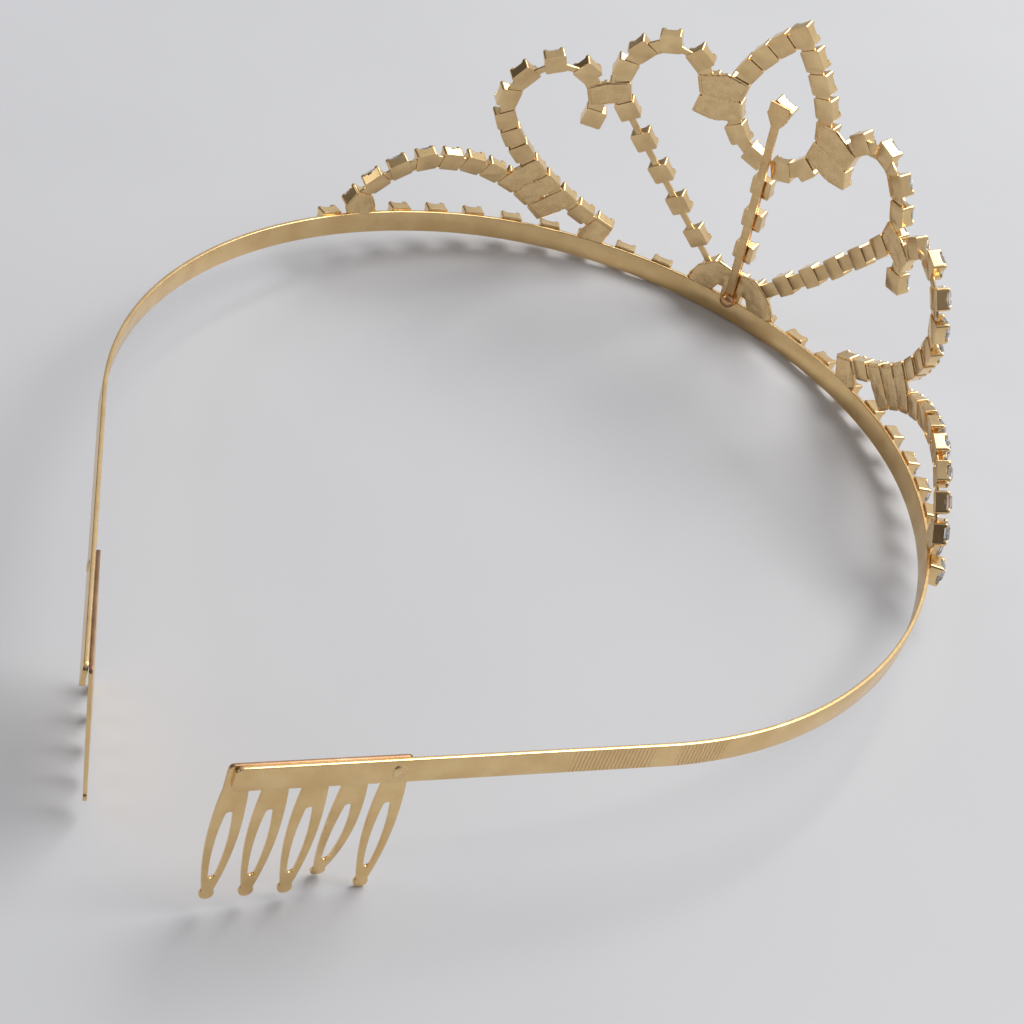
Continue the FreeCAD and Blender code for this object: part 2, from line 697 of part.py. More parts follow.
def add_frustum(name, lower_side, upper_side, low, height):
    """A square frustum standing on Z, bound to the sheet."""
    wedge = DOC.addObject("Part::Wedge", name)
    wedge.Placement = Placement(Vector(0, 0, 0), Rotation(Vector(1, 0, 0), 90))
    for prop in ("Xmin", "Zmin"):
        wedge.setExpression(prop, "-" + lower_side + " / 2")
    for prop in ("Xmax", "Zmax"):
        wedge.setExpression(prop, lower_side + " / 2")
    for prop in ("X2min", "Z2min"):
        wedge.setExpression(prop, "-" + upper_side + " / 2")
    for prop in ("X2max", "Z2max"):
        wedge.setExpression(prop, upper_side + " / 2")
    bind(wedge, Ymin=low, Ymax="%s + %s" % (low, height))
    return wedge


def make_stone():
    """One square-cut stone with a bevelled crown and a tapered pavilion."""
    seat = cell("stone_seat")
    girdle = "%s + %s" % (seat, cell("pavilion_height"))
    pavilion = add_frustum("stone_pavilion", cell("stone_culet"), cell("stone_side"), seat,
                           cell("pavilion_height"))
    half = cell("stone_side") + " / 2"
    middle = add_box("stone_girdle", cell("stone_side"), cell("stone_side"), cell("girdle_height"),
                     "-" + half, "-" + half, girdle)
    crown = add_frustum("stone_crown", cell("stone_side"), cell("stone_table"),
                        girdle + " + " + cell("girdle_height"), cell("crown_height"))
    stone = DOC.addObject("Part::MultiFuse", "stone_pattern")
    stone.Shapes = [pavilion, middle, crown]
    DOC.recompute()
    return stone.Shape


def make_envelope():
    """The block of space that one cup takes up, for trimming what is soldered to it."""
    side = size("cup_side")
    return Part.makeBox(side, side, size("cup_depth"), Vector(-side / 2, -side / 2, 0))


def placed(shape, frame):
    """A copy of a pattern shape at a placement."""
    copy = shape.copy()
    copy.Placement = frame
    return copy


def add_group(name, shapes):
    """A sub-part made of separate solids."""
    part = DOC.addObject("Part::Feature", name)
    part.Shape = Part.makeCompound(shapes)
    part.Placement = Placement()
    return part


def bridge(start, end, width, lift, height):
    """A flat bar from the middle of one cup's back to the next, lifted off the backs."""
    origin = start.Base
    reach = end.Base - origin
    outward = start.Rotation.multVec(UP) + end.Rotation.multVec(UP)
    across = outward.cross(reach)
    bar = Part.makeBox(reach.Length, width, height, Vector(0, -width / 2, lift))
    bar.Placement = Placement(origin, Rotation(reach, across, reach.cross(across), "XYZ"))
    return bar


def trimmed(shape, neighbours):
    """The solids left of a shape once it is cut clear of every neighbour it could touch; crumbs are dropped."""
    touching = [other for other in neighbours if shape.BoundBox.intersect(other.BoundBox)]
    rest = shape.cut(touching) if touching else shape
    return [solid for solid in rest.Solids if solid.Volume > CRUMB]


def chain_links(frames, cups, loose_width):
    """Links of one chain: of the given width where the cups are drawn apart, wide where they are pushed together."""
    links = []
    for start, end in zip(frames, frames[1:]):
        gap = start.Base.distanceToPoint(end.Base)
        tight = gap < size("cup_side") * LOOSE_PITCH
        width = size("tight_link_width") if tight else loose_width
        bar = bridge(start, end, width, size("link_lift"), size("link_sheet"))
        links += trimmed(bar, cups)
    return links


# ---------------------------------------------------------------- centre post

def post_frame():
    """The post's own frame: X across, Y up the post, Z outward; its front foot edge on the strip's top edge."""
    lean = math.radians(size("post_lean"))
    up_post = Vector(0, math.sin(lean), math.cos(lean))
    outward = Vector(0, -math.cos(lean), math.sin(lean))
    foot = Vector(0, size("strip_sheet") / 2, size("strip_width") / 2)
    origin = foot - outward * (size("post_sheet") / 2)
    return Placement(origin, Rotation(Vector(1, 0, 0), up_post, Vector(1, 0, 0).cross(up_post), "ZXY"))


def build_post():
    """Flat stamped post: a narrow stem that widens to a pad behind its cup."""
    body = DOC.addObject("PartDesign::Body", "centre_post")
    outline = new_sketch(body, "post_outline", "XY_Plane")
    half_stem = cell("post_width") + " / 2"
    half_pad = cell("cup_side") + " / 2"
    shoulder = cell("post_length") + " + " + cell("post_taper")
    top = shoulder + " + " + cell("post_pad")
    stem = cell("post_length")
    draw_outline(outline, [("-" + half_stem, "0"), (half_stem, "0"), (half_stem, stem), (half_pad, shoulder),
                           (half_pad, top), ("-" + half_pad, top), ("-" + half_pad, shoulder),
                           ("-" + half_stem, stem)])
    DOC.recompute()
    add_pad(body, "post_plate", outline, cell("post_sheet"))
    body.Placement = post_frame()
    return body


def post_cup_frame():
    """Placement of the single cup on the front of the post's pad."""
    height = size("post_length") + size("post_taper") + size("post_pad") - size("post_cup_drop")
    local = Placement(Vector(0, height, size("post_sheet") / 2), Rotation(UP, size("post_cup_turn")))
    return post_frame().multiply(local)


def post_solder(neighbours):
    """Blob of solder at the foot of the post, behind the strip's top edge."""
    foot = Vector(0, (size("strip_sheet") + size("post_sheet")) / 2, size("strip_width") / 2)
    blob = Part.makeSphere(size("post_solder_radius"), foot)
    return [max(trimmed(blob, neighbours), key=lambda solid: solid.Volume)]


# ---------------------------------------------------------------- assembly

def chain_solder(chains, obstacles):
    """Solder wherever cups of two chains come close, trimmed clear of everything already there."""
    joints = []
    names = list(chains)
    for position, name in enumerate(names):
        for other in names[position + 1:]:
            for start in chains[name]:
                for end in chains[other]:
                    if start.Base.distanceToPoint(end.Base) < size("solder_reach"):
                        bar = bridge(start, end, size("solder_width"), 0, size("solder_height"))
                        joints += trimmed(bar, obstacles + joints)
    return joints


def build_ornament(headband, post):
    """Cups, links and stones of every chain, the post's own cup, and the solder that joins them all."""
    cup = make_cup()
    stone = make_stone()
    envelope = make_envelope()
    chains = ornament_chains()
    blocks = [placed(envelope, frame) for frames in chains.values() for frame in frames]
    parts = []
    all_links = []
    for name, frames in chains.items():
        broad = name == "right_inner_scroll"
        links = chain_links(frames, blocks, size("broad_link_width" if broad else "loose_link_width"))
        all_links += links
        parts.append(add_group(name + "_cups", [placed(cup, frame) for frame in frames]))
        parts.append(add_group(name + "_stones", [placed(stone, frame) for frame in frames]))
        parts.append(add_group(name + "_links", links))
    metal = blocks + all_links + [headband.Shape, post.Shape]
    solder = chain_solder(chains, metal)
    parts.append(add_group("chain_solder", solder))
    parts.append(add_group("post_solder", post_solder(metal + solder)))
    parts.append(add_group("post_cup", [placed(cup, post_cup_frame())]))
    parts.append(add_group("post_stone", [placed(stone, post_cup_frame())]))
    return parts


def build_crown():
    """Every sub-part, in the frame of the headband."""
    headband = build_headband()
    post = build_post()
    parts = [headband]
    for name, side in (("left", 1), ("right", -1)):
        parts.append(build_comb(name + "_comb", side))
        parts.append(build_weld(name + "_comb_weld", side))
    parts.append(post)
    parts += build_ornament(headband, post)
    return parts


def stand_on_table(parts):
    """Tip the crown back on to its front edge and its foremost comb tooth, and centre it over the origin."""
    drop = size("foot_radius") - foot_height() - size("strip_width") / 2
    reach = comb_placement(-1).Base.y + size("strip_sheet") / 2
    tilt = math.degrees(math.atan2(drop, reach))
    tipped = Placement(Vector(0, 0, 0), Rotation(Vector(1, 0, 0), tilt))
    for part in parts:
        part.Placement = tipped.multiply(part.Placement)
    DOC.recompute()
    whole = Part.makeCompound([part.Shape for part in parts]).BoundBox
    shift = Placement(Vector(-whole.Center.x, -whole.Center.y, -whole.ZMin), Rotation())
    for part in parts:
        part.Placement = shift.multiply(part.Placement)
    DOC.recompute()


def check_document(parts):
    """Stop if any object failed, or any sub-part has a null or invalid shape."""
    for obj in DOC.Objects:
        if "Invalid" in obj.State or "Error" in obj.State:
            raise ValueError("%s failed: %s" % (obj.Label, obj.State))
    for part in parts:
        if part.Shape.isNull() or not part.Shape.isValid() or not part.Shape.Solids:
            raise ValueError("bad shape in " + part.Label)


def main():
    parts = build_crown()
    stand_on_table(parts)
    check_document(parts)
    os.makedirs("parts", exist_ok=True)
    for part in parts:
        part.Shape.exportStep(os.path.join("parts", part.Label + ".step"))
        print("%-28s %3d solids %9.2f mm3" % (part.Label, len(part.Shape.Solids), part.Shape.Volume))


main()
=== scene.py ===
"""Looks of the rhinestone tiara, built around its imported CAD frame.

Every visible piece is rebuilt here as clean, rounded metalwork or cut glass on the place of the CAD solid
that it stands for. Lengths are in millimetres unless a comment says otherwise; meshes are scaled to metres.
"""

import math
import random

import bmesh
import bpy
import numpy as np
from mathutils import Matrix, Vector, noise


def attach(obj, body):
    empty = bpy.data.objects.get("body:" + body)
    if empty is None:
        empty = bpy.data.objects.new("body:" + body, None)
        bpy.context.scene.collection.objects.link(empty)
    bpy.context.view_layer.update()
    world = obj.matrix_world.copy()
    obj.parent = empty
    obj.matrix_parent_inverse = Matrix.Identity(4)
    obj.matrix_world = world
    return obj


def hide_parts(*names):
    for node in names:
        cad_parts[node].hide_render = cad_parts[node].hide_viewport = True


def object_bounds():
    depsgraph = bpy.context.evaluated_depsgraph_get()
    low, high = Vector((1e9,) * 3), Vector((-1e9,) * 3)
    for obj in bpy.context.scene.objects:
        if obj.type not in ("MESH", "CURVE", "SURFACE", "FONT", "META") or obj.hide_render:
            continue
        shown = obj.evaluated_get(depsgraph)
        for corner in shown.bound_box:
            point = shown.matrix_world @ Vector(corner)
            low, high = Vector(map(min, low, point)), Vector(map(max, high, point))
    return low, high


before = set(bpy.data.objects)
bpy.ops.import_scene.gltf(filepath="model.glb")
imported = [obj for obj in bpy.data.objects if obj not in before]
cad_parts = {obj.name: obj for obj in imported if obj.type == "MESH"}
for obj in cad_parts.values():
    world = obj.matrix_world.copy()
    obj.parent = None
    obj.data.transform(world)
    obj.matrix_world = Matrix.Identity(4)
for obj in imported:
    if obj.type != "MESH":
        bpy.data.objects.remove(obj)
CAD_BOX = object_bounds()
CENTRE = (Vector(CAD_BOX[0]) + Vector(CAD_BOX[1])) / 2

MM = 0.001
BODY = "root"
SEED = 7

# Reading the frame: how close points are merged, and how flat, parallel and square sides have to be.
MERGE = 0.0005
FLAT = 0.01
PARALLEL = 0.9995
SQUARE = 0.05

# Strip: bends from the front centre back, as (radius, turn in degrees), then a straight arm.
STRIP_BENDS = ((54.0, 51.6), (67.5, 48.6), (62.5, 27.5))
STRIP_HALF_LENGTH = 190.0
STRIP_WIDTH = 3.5
STRIP_SHEET = 0.6
STRIP_END_CORNER = 0.9
STRIP_EDGE = 0.13
STRIP_STEP = 1.0
STRIP_END_STEPS = 6
OUTER_FACE = 7  # place of the flat outer face among the faces round the strip's section
UV_UNIT = 100

# Cup: a folded square of sheet with an arched window in each wall and a prong at each corner. Window steps
# are distances from a wall's middle, and wall rows are lengths of sheet up from the cup's back.
CUP_SIDE = 3.25
CUP_CORNER = 0.3
CUP_SHEET = 0.25
CUP_EDGE = 0.05
CUP_SILL = 1.4
WINDOW_HALF = 1.06
WINDOW_RISE = 0.22
WINDOW_SIDE = 0.03
WINDOW_STEPS = (1.0, 0.9, 0.7, 0.45, 0.2)
WALL_ROWS = (0.0, 0.08, 0.3, 0.6, 0.8, 1.1, 1.4)

# Prong: the top of the sheet at a corner, folded in over the stone. It begins at its foot, a distance from
# the wall's middle, and is longest in the corner.
PRONG_FOOT = 1.18
PRONG_BEND = 1.72
PRONG_FOLD = 0.34
PRONG_LENGTH = 2.3
PRONG_TIP = 0.12
PRONG_SPARE = 0.15
PRONG_STEPS = 7
PRONG_ANGLE = 80.0
PRONG_CREST = 1.3
PRONG_DIP = 0.06

# Folding: how far a prong's outside and inside draw in towards the cup's middle for each unit of inset, and
# how fast its sheet's thickness turns from level to upright.
OUTER_DRAW = 1.25
INNER_DRAW = 1.1
THICKNESS_TURN = 1.6

# Stone: rings of a square cut with clipped corners, each as its height above the cup's back, its half side
# and the clip of its corners.
STONE_RINGS = ((0.40, 0.26, 0.10), (0.95, 0.82, 0.22), (1.55, 1.30, 0.30), (1.80, 1.30, 0.30),
               (2.10, 1.10, 0.30), (2.36, 0.82, 0.24))
GIRDLE_RING = 2
FACET_DEGREES = 3

# Rounding of the edges of links, combs and post.
LINK_EDGE = 0.07
COMB_EDGE = 0.1
POST_EDGE = 0.12

# Solder between chains: plates over the backs of cups closer than the reach, centre to centre, with lumps.
SOLDER_REACH = 5.1
SOLDER_HALF = 1.66
SOLDER_SHIFT = 0.5
SOLDER_PROUD = 0.04
SOLDER_DEPTH = 0.5
LUMP_SCALE = 0.9
LUMP_HEIGHT = 0.04

# Comb weld: a low lumpy ring round a dent, as (distance from its middle, height above the strip), and where
# along the strip it is looked for, as (from, to, step).
WELD_PROFILE = ((0.25, 0.05), (0.45, 0.10), (0.62, 0.17), (0.78, 0.13), (0.9, 0.06), (1.0, -0.04))
WELD_DENT = 0.05
WELD_SPOKES = 28
WELD_WOBBLE = 0.22
WELD_STRETCH = (150, 190, 0.1)

# Wear: scrape marks on the right arm, as stretches of the strip from its front centre in its map's units,
# which are tenths of a metre.
SCRAPES = ((-1.49, -1.37), (-1.345, -1.27))
SCRAPE_SCALE = 62.0
SCRAPE_STRENGTH = 0.5
SCRAPE_SLANT = 2.0
SCRAPE_FADE = 0.01
SCRAPE_BROWN = (0.42, 0.22, 0.10)

# One tooth of the right comb is bent towards the head: its distance from the comb's front end, how far its
# tip swings, and the tooth's half width and length below the spine.
BENT_TOOTH = 6.25
BENT_SWING = 2.5
TOOTH_HALF = 2.2
TOOTH_DROP = 17.8
SPINE_HEIGHT = 4.0

# Tarnish: the band at the top of a comb's spine, and how far its faces have to look up.
TARNISH_BAND = 0.3
TARNISH_FACING = 0.3

# Camera: where it stands as seen from the middle of the crown, and its lens.
CAMERA_AZIMUTH = -157.14
CAMERA_ELEVATION = 42.40
CAMERA_ROLL = 15.49
CAMERA_DISTANCE = 303.1
CAMERA_SLIDE = (-0.73, -16.31)
CAMERA_LENS = 82.02
CAMERA_SENSOR = 36.0

# Light: places from the crown's middle and sizes are in metres, powers in watts. The world is a dim room
# that brightens towards one side.
WINDOW_PLACE = (-0.22, -0.60, 0.80)
WINDOW_WIDTH = 0.95
WINDOW_HEIGHT = 0.50
WINDOW_POWER = 8.4
WINDOW_COLOUR = (1.0, 0.985, 0.96)
FILL_PLACE = (0.7, 0.5, 0.6)
FILL_SIZE = 0.5
FILL_POWER = 1.2
FILL_COLOUR = (0.95, 0.97, 1.0)
BRIGHT_SIDE = (-0.40, -0.80, 0.60)
WORLD_SHADES = ((0.0, (0.13, 0.12, 0.12)), (0.9, (1.0, 1.02, 1.06)))
WORLD_STRENGTH = 0.74

# Floor: half its side and its gap below the crown, in metres.
FLOOR_HALF = 1.6
FLOOR_CELLS = 8
FLOOR_GAP = 0.00002

# Plating: its colours from light to dark, and the scales of the noise that shades it.
PALE = (0.90, 0.645, 0.325)
WARM = (0.80, 0.55, 0.26)
DEEP = (0.77, 0.50, 0.23)
CUP_TONES = ((0.92, 0.67, 0.35), (0.77, 0.53, 0.26))
TARNISH_TONES = ((0.50, 0.30, 0.17), (0.34, 0.19, 0.11))
PATCH_SCALE = 240.0
FINE_SCALE = 1500.0
MARK_SCALE = 900.0
MARK_STRETCH = (1.0, 1.0, 14.0)

# Other surfaces: light and dark tone, and the scale of their noise.
SOLDER_TONES = ((0.90, 0.65, 0.34), (0.80, 0.56, 0.28))
COPPER_TONES = ((0.86, 0.52, 0.27), (0.66, 0.36, 0.16))
SOLDER_SCALE = 700.0
FOIL_TONES = ((0.95, 0.94, 0.93), (0.80, 0.78, 0.75))
FOIL_SCALE = 1800.0
GLASS_SCALE = 3000.0
PAPER_TONES = ((0.64, 0.645, 0.665), (0.60, 0.605, 0.625))
PAPER_SCALE = 9.0

# Unevenness of a hand-soldered cup, in degrees each way.
CUP_TURN = 1.5


# ---------------------------------------------------------------- reading the CAD frame

def welded(node):
    """Points of a CAD node with coincident ones merged, and its triangles as index triples."""
    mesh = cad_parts[node].data
    points = np.array([vertex.co for vertex in mesh.vertices], float)
    cells = np.round(points / (MERGE * MM)).astype(np.int64)
    _, first, index = np.unique(cells, axis=0, return_index=True, return_inverse=True)
    triangles = index.ravel()[np.array([list(polygon.vertices) for polygon in mesh.polygons])]
    return points[first], triangles


def islands(points, triangles):
    """Label of the separate solid that each triangle belongs to."""
    labels = np.arange(len(points))
    while True:
        lowest = labels[triangles].min(axis=1)
        merged = labels.copy()
        for corner in range(3):
            np.minimum.at(merged, triangles[:, corner], lowest)
        if (merged == labels).all():
            return labels[triangles[:, 0]]
        labels = merged


def widest_side(points, triangles, square_to=None):
    """Widest flat side of a solid, or the widest one square to a direction: triangles, areas and normal."""
    a, b, c = (points[triangles[:, corner]] for corner in range(3))
    area_vectors = np.cross(b - a, c - a) / 2
    areas = np.linalg.norm(area_vectors, axis=1)
    normals = area_vectors / np.maximum(areas, 1e-18)[:, None]
    allowed = np.ones(len(triangles), bool)
    if square_to is not None:
        allowed = abs(normals @ square_to) < SQUARE
    middles = (a + b + c) / 3
    best, best_area, best_normal = None, 0.0, None
    for direction in np.unique(np.round(normals[allowed], 2), axis=0):
        same = allowed & (normals @ direction > PARALLEL * np.linalg.norm(direction))
        if not same.any():
            continue
        normal = area_vectors[same].sum(axis=0)
        normal /= np.linalg.norm(normal)
        offsets = middles @ normal
        same &= offsets > offsets[same].max() - FLAT * MM
        if areas[same].sum() > best_area:
            best, best_area, best_normal = same, areas[same].sum(), normal
    return best, areas, best_normal


def cup_places(node):
    """Placement of each cup of a CAD node: back centre, local X along one side, local Z outward."""
    points, triangles = welded(node)
    labels = islands(points, triangles)
    places = []
    for label in np.unique(labels):
        own = triangles[labels == label]
        back, areas, normal = widest_side(points, own)
        centre = (points[own[back]].mean(axis=1) * areas[back][:, None]).sum(axis=0) / areas[back].sum()
        outward = Vector(-normal)
        along = Vector(widest_side(points, own, normal)[2])
        along = (along - outward * along.dot(outward)).normalized()
        across = outward.cross(along)
        place = Matrix((along, across, outward)).transposed().to_4x4()
        place.translation = Vector(centre)
        places.append(place)
    return sorted(places, key=lambda place: tuple(round(value, 6) for value in place.translation))


def outline_loops(node):
    """Flat sheet solid: its placement and its outlines in the sheet's own plane, in millimetres."""
    points, triangles = welded(node)
    side, _, normal = widest_side(points, triangles)
    edges = {}
    for triangle in triangles[side]:
        for start, end in zip(triangle, np.roll(triangle, -1)):
            edges[(int(start), int(end))] = True
    follow = {start: end for start, end in edges if (end, start) not in edges}
    loops = []
    while follow:
        start, point = follow.popitem()
        loop = [start]
        while point != loop[0]:
            loop.append(point)
            point = follow.pop(point)
        loops.append(loop)
    depths = points[np.unique(triangles)] @ normal
    sheet = (depths.max() - depths.min()) / MM
    outward = Vector(normal)
    across = (STRIP.to_3x3() @ Vector((0, 0, 1))).cross(outward).normalized()
    place = Matrix((across, outward.cross(across), outward)).transposed().to_4x4()
    place.translation = outward * float((depths.max() + depths.min()) / 2)
    inverse = place.inverted()
    flat = [[(inverse @ Vector(points[index])) / MM for index in loop] for loop in loops]
    return place, flat, sheet


def strip_placement():
    """Frame of the strip: origin at its front centre, X to the wearer's left, Z across its width."""
    points, _ = welded("headband_strip")
    middle = points.mean(axis=0)
    normal = Vector(np.linalg.svd(points - middle, full_matrices=False)[2][2])
    if normal.z < 0:
        normal.negate()
    left = Vector((1, 0, 0))
    place = Matrix((left, normal.cross(left), normal)).transposed().to_4x4()
    local = points @ np.array(place.to_3x3())
    front = local[:, 1].min() + STRIP_SHEET * MM / 2
    height = (local[:, 2].min() + local[:, 2].max()) / 2
    place.translation = place.to_3x3() @ Vector((0, front, height))
    return place


STRIP = strip_placement()


def strip_frame(around):
    """Middle, direction and inward normal of the strip at a signed distance round it, in its own frame."""
    side = -1 if around < 0 else 1
    left = abs(around)
    heading = 0.0
    point = Vector((0, 0, 0))
    for radius, turn in STRIP_BENDS:
        part = min(left / radius, math.radians(turn))
        bend = heading + part
        aside = math.sin(bend) - math.sin(heading)
        back = math.cos(heading) - math.cos(bend)
        point += Vector((aside, back, 0)) * radius
        heading = bend
        left -= radius * part
    point += Vector((math.cos(heading), math.sin(heading), 0)) * left
    along = Vector((side * math.cos(heading), math.sin(heading), 0))
    inward = Vector((-side * math.sin(heading), math.cos(heading), 0))
    return Vector((side * point.x, point.y, 0)), along, inward


# ---------------------------------------------------------------- making pieces

def add_piece(name, mesh, nodes, materials):
    """Put a finished mesh in the scene as a piece that stands for CAD nodes."""
    piece = bpy.data.objects.new(name, mesh)
    bpy.context.scene.collection.objects.link(piece)
    for material in materials:
        mesh.materials.append(material)
    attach(piece, BODY)
    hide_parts(*nodes)
    return piece


def mesh_from(name, bm, sharp_degrees=35):
    """Turn a bmesh into a mesh, smooth except at edges sharper than the given angle."""
    bmesh.ops.recalc_face_normals(bm, faces=bm.faces)
    for face in bm.faces:
        face.smooth = True
    for edge in bm.edges:
        edge.smooth = len(edge.link_faces) == 2 and edge.calc_face_angle(0) < math.radians(sharp_degrees)
    mesh = bpy.data.meshes.new(name)
    bm.to_mesh(mesh)
    bm.free()
    return mesh


def copies(name, template, places, sharp_degrees=35):
    """One mesh holding a copy of a template mesh (in millimetres) at each placement."""
    bm = bmesh.new()
    for place in places:
        before = len(bm.verts)
        bm.from_mesh(template)
        bm.verts.ensure_lookup_table()
        fresh = bm.verts[before:]
        bmesh.ops.transform(bm, matrix=place @ Matrix.Scale(MM, 4), verts=fresh)
    return mesh_from(name, bm, sharp_degrees)


def bevel_sharp(bm, width, degrees):
    """Round every edge sharper than the given angle."""
    sharp = [edge for edge in bm.edges
             if len(edge.link_faces) == 2 and edge.calc_face_angle(0) > math.radians(degrees)]
    bmesh.ops.bevel(bm, geom=sharp, offset=width, segments=2, profile=0.5, affect="EDGES",
                    clamp_overlap=True)


# ---------------------------------------------------------------- cup

def cup_columns():
    """Stations round a cup's wall: outer point, inward direction and length of sheet standing there."""
    straight = CUP_SIDE / 2 - CUP_CORNER
    half_steps = [straight, PRONG_FOOT, WINDOW_HALF + WINDOW_SIDE, WINDOW_HALF, *WINDOW_STEPS]
    side_steps = [-x for x in half_steps] + [0.0] + half_steps[::-1]
    stations = []
    for quarter in range(4):
        turn = Matrix.Rotation(quarter * math.pi / 2, 2)
        for x in side_steps:
            reach = PRONG_LENGTH * (1 - PRONG_DIP * max(0, PRONG_CREST - abs(x)))
            if abs(x) <= WINDOW_HALF:
                reach = CUP_SILL + WINDOW_RISE * (1 - math.sqrt(1 - (x / WINDOW_HALF) ** 2))
            stations.append((turn @ Vector((x, -CUP_SIDE / 2)), turn @ Vector((0, 1)), reach))
        for step in (1, 2, 3):
            angle = math.radians(step * 22.5)
            normal = Vector((math.sin(angle), -math.cos(angle)))
            centre = Vector((straight, -straight))
            lift = PRONG_LENGTH + PRONG_TIP * math.sin(2 * angle)
            stations.append((turn @ (centre + normal * CUP_CORNER), turn @ -normal, lift))
    return stations


def wall_profile(length):
    """Points up a wall of a given length of sheet, as (inset, height); above the bend it folds inward."""
    folding = PRONG_LENGTH + PRONG_SPARE - PRONG_BEND
    rows = [*WALL_ROWS]
    rows += [PRONG_BEND + folding * step / PRONG_STEPS for step in range(PRONG_STEPS + 1)]
    limit = math.radians(PRONG_ANGLE)
    points = []
    for row in rows:
        run = min(row, length)
        if run <= PRONG_BEND:
            points.append((0.0, run))
        else:
            angle = min((run - PRONG_BEND) / PRONG_FOLD, limit)
            over = max(0.0, run - PRONG_BEND - PRONG_FOLD * limit)
            inset = PRONG_FOLD * (1 - math.cos(angle)) + over * math.sin(limit)
            points.append((inset, PRONG_BEND + PRONG_FOLD * math.sin(angle) + over * math.cos(limit)))
    return points


def make_cup():
    """The stamped cup as one closed mesh, in millimetres, back on the XY plane."""
    bm = bmesh.new()
    outer, inner = [], []
    for point, inward, length in cup_columns():
        skin, lining = [], []
        diagonal = (-point).normalized()
        for inset, height in wall_profile(length):
            place = point + diagonal * inset * OUTER_DRAW
            skin.append(bm.verts.new((place.x, place.y, height)))
            under = point + inward * CUP_SHEET + diagonal * inset * INNER_DRAW
            fold = CUP_SHEET * min(1.0, inset * THICKNESS_TURN)
            lower = max(CUP_SHEET, height - fold) if height > CUP_SHEET else CUP_SHEET
            lining.append(bm.verts.new((under.x, under.y, lower)))
        outer.append(skin)
        inner.append(lining)
    total = len(outer)
    for index in range(total):
        after = (index + 1) % total
        for row in range(len(outer[0]) - 1):
            above = row + 1
            bm.faces.new((outer[index][row], outer[after][row], outer[after][above], outer[index][above]))
            bm.faces.new((inner[index][row], inner[index][above], inner[after][above], inner[after][row]))
        bm.faces.new((outer[index][-1], outer[after][-1], inner[after][-1], inner[index][-1]))
    bm.faces.new([column[0] for column in reversed(outer)])
    bm.faces.new([column[0] for column in inner])
    bmesh.ops.remove_doubles(bm, verts=bm.verts, dist=0.004)
    bmesh.ops.dissolve_degenerate(bm, dist=0.002, edges=bm.edges)
    bevel_sharp(bm, CUP_EDGE, degrees=50)
    return mesh_from("cup_template", bm)


# ---------------------------------------------------------------- stone

def make_stone():
    """The square-cut stone: faces below the girdle take the second material, the foil."""
    bm = bmesh.new()
    rings = []
    for height, half, clip in STONE_RINGS:
        corner = half - clip
        ring = []
        for quarter in range(4):
            turn = Matrix.Rotation(quarter * math.pi / 2, 2)
            for point in (Vector((-corner, -half)), Vector((corner, -half))):
                flat = turn @ point
                ring.append(bm.verts.new((flat.x, flat.y, height)))
        rings.append(ring)
    for level, (low, high) in enumerate(zip(rings, rings[1:])):
        for index in range(len(low)):
            after = (index + 1) % len(low)
            face = bm.faces.new((low[index], low[after], high[after], high[index]))
            face.material_index = 1 if level < GIRDLE_RING else 0
    bottom = bm.faces.new(list(reversed(rings[0])))
    bottom.material_index = 1
    bm.faces.new(rings[-1])
    return mesh_from("stone_template", bm, FACET_DEGREES)


# ---------------------------------------------------------------- sheet metal pieces

def stamped_sheet(name, node, edge):
    """Cut sheet with rolled edges, following the outline of a flat CAD solid: its bmesh and placement."""
    place, loops, sheet = outline_loops(node)
    curve = bpy.data.curves.new(name, "CURVE")
    curve.dimensions = "2D"
    curve.fill_mode = "BOTH"
    curve.extrude = sheet / 2 - edge
    curve.bevel_depth = edge
    curve.bevel_resolution = 2
    curve.offset = -edge
    for loop in loops:
        spline = curve.splines.new("POLY")
        spline.points.add(len(loop) - 1)
        for point, corner in zip(spline.points, loop):
            point.co = (corner.x, corner.y, 0, 1)
        spline.use_cyclic_u = True
    holder = bpy.data.objects.new(name, curve)
    bpy.context.scene.collection.objects.link(holder)
    bpy.context.view_layer.update()
    raw = bpy.data.meshes.new_from_object(holder.evaluated_get(bpy.context.evaluated_depsgraph_get()))
    bpy.data.objects.remove(holder)
    bm = bmesh.new()
    bm.from_mesh(raw)
    bpy.data.meshes.remove(raw)
    bmesh.ops.remove_doubles(bm, verts=bm.verts, dist=0.002)
    return bm, place


def add_stamped(name, node, materials, edge, shape=None):
    """A stamped sheet piece on the place of a CAD node; shape may alter it in the sheet's own frame."""
    bm, place = stamped_sheet(name, node, edge)
    if shape:
        shape(bm, place)
    bmesh.ops.transform(bm, matrix=place @ Matrix.Scale(MM, 4), verts=bm.verts)
    return add_piece(name, mesh_from(name, bm, sharp_degrees=40), [node], materials)


def tarnish_top(bm, place):
    """Give the top edge of a comb's spine the second material."""
    top = max(vertex.co.y for vertex in bm.verts)
    bm.normal_update()
    for face in bm.faces:
        if face.normal.y > TARNISH_FACING and face.calc_center_median().y > top - TARNISH_BAND:
            face.material_index = 1


